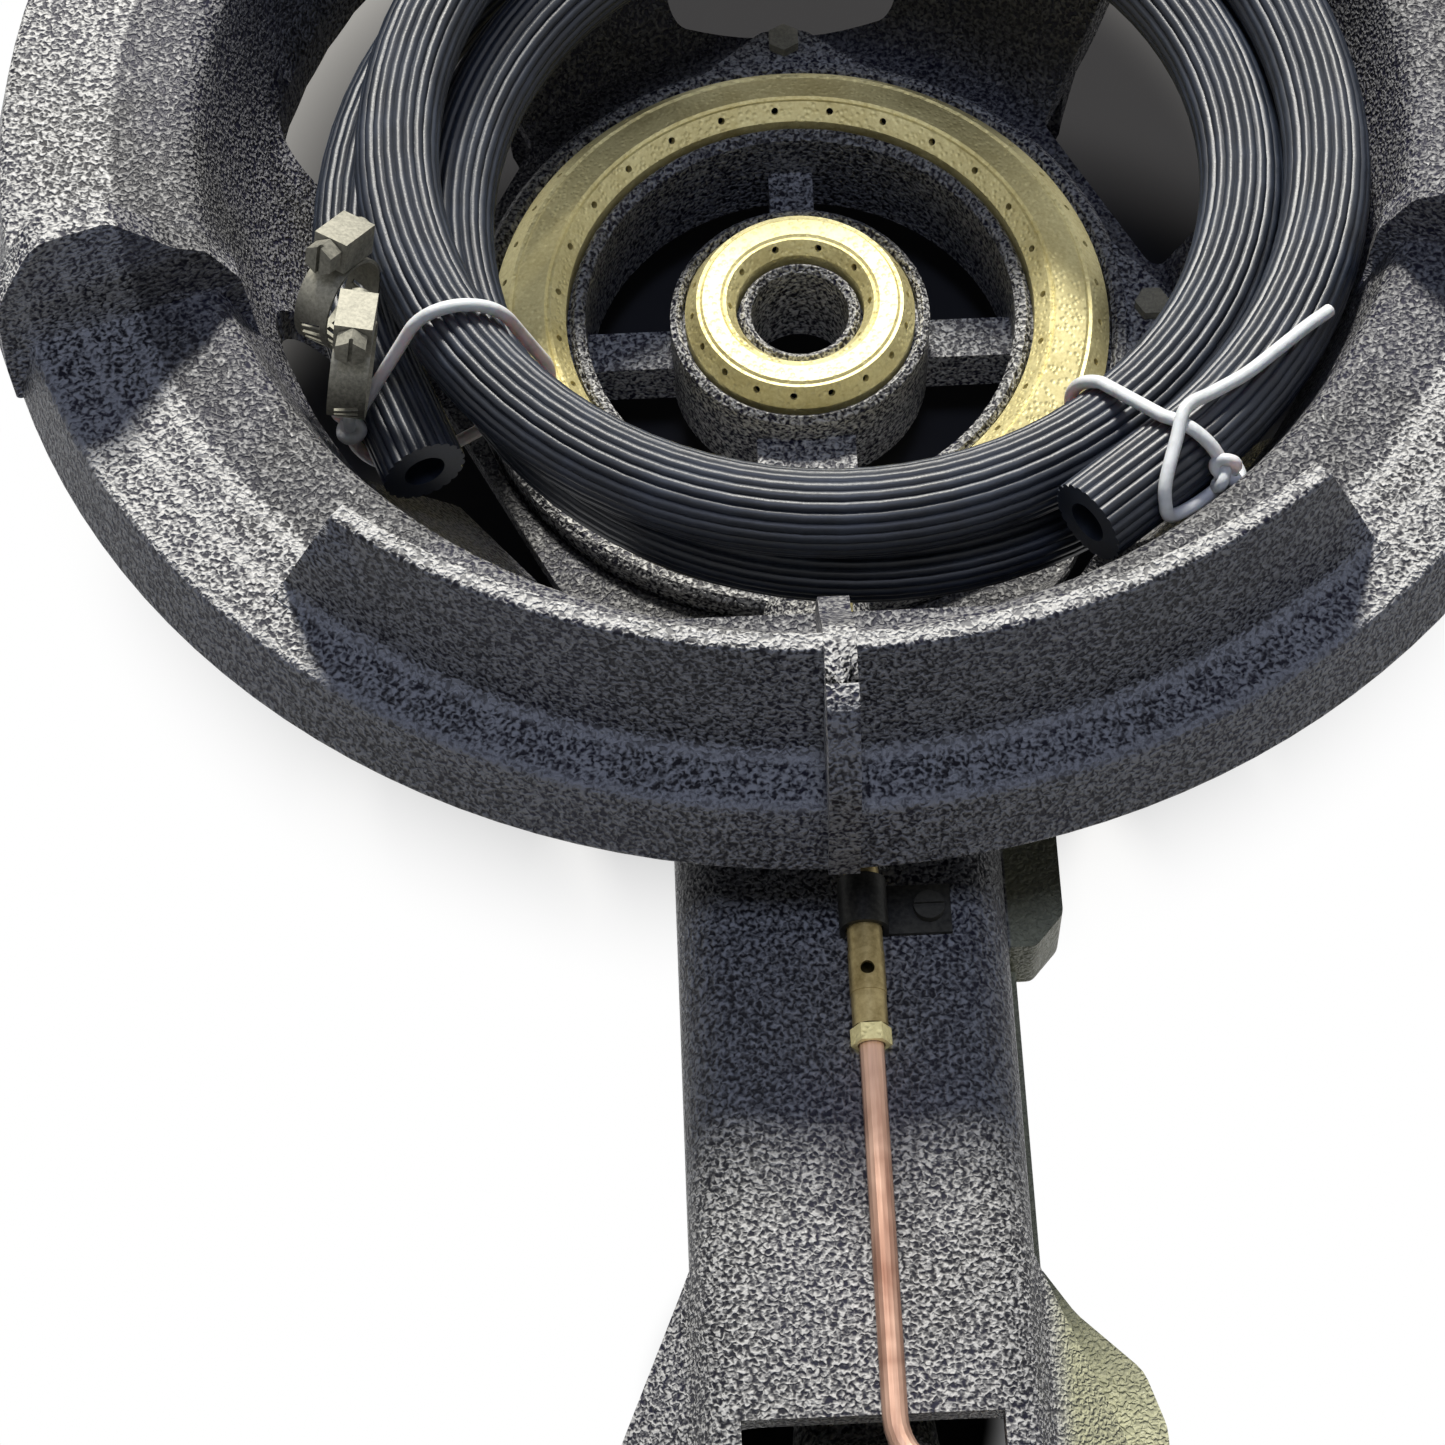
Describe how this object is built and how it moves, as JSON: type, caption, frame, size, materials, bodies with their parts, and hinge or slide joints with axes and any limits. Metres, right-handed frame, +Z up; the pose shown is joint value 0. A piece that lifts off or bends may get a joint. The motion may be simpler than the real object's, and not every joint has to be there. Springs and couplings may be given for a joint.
{
  "type": "propane burner stand",
  "caption": "Cast iron outdoor gas burner with pot supports, a ring burner, an arm with valves and pilot, and a coiled gas hose stored in the bowl.",
  "frame": {"origin": "on the ground under the middle of the stove without its stored hose", "axes": "+Z up, -Y along the arm towards the valves, +X to the right seen from the valves"},
  "size_m": [0.399, 0.6221, 0.173],
  "materials": {
    "cast_iron": "charcoal hammertone paint over rough casting",
    "steel": "bright zinc plate",
    "chrome": "polished plate",
    "brass": "pale turned brass",
    "dull_brass": "tarnished brass",
    "copper": "bare copper tube",
    "rubber": "ribbed, satin",
    "tie": "white sleeve",
    "lever": "black"
  },
  "bodies": {
    "stove": {"bowl": "cast_iron", "arm": "cast_iron", "arm_bolts": "steel", "burner_body": "cast_iron", "burner_bolts": "steel", "shutter_spring": "steel", "nozzle": "brass", "nozzle_holder": "brass", "lock_nut": "brass", "valve_body": "brass", "bonnet_nut": "brass", "gland_nut": "brass", "hose_spigot": "brass", "pilot_tap": "brass", "pilot_pipe": "copper", "pipe_nut": "brass", "mixer_nut": "brass", "pilot_mixer": "dull_brass", "pilot_jet_tube": "steel", "pilot_head": "brass", "pilot_bracket": "steel", "bracket_screw": "steel"},
    "hand_wheel": {"valve_stem": "steel", "hand_wheel": "chrome", "wheel_nut": "steel"},
    "pilot_lever": {"pilot_lever": "lever", "lever_screw": "steel"},
    "air_shutter": {"air_shutter": "steel"},
    "outer_cap": {"outer_ring_cap": "brass"},
    "inner_cap": {"inner_ring_cap": "brass"},
    "hose": {"hose_coil": "rubber", "tie_left": "tie", "tie_right": "tie", "clamp_bands": "steel", "clamp_housings": "steel", "clamp_screws": "steel"}
  },
  "joints": [
    {"name": "wheel_turn", "type": "hinge", "parent": "stove", "child": "hand_wheel", "pos_m": [0, -0.2911, 0.0793], "axis": [0, -0.5, 0.866], "range_deg": [0, 270]},
    {"name": "pilot_lever_turn", "type": "hinge", "parent": "stove", "child": "pilot_lever", "pos_m": [0.024, -0.2661, 0.1083], "axis": [0, 0, 1], "range_deg": [-90, 0]},
    {"name": "shutter_turn", "type": "hinge", "parent": "stove", "child": "air_shutter", "pos_m": [0, -0.2064, 0.036], "axis": [0, 1, 0], "range_deg": [0, 60]},
    {"name": "outer_cap_lift", "type": "slide", "parent": "stove", "child": "outer_cap", "axis": [0, 0, 1], "range_m": [0, 0.03]},
    {"name": "inner_cap_lift", "type": "slide", "parent": "stove", "child": "inner_cap", "axis": [0, 0, 1], "range_m": [0, 0.15]},
    {"name": "hose_lift", "type": "slide", "parent": "stove", "child": "hose", "axis": [0, 0, 1], "range_m": [0, 0.2]}
  ]
}
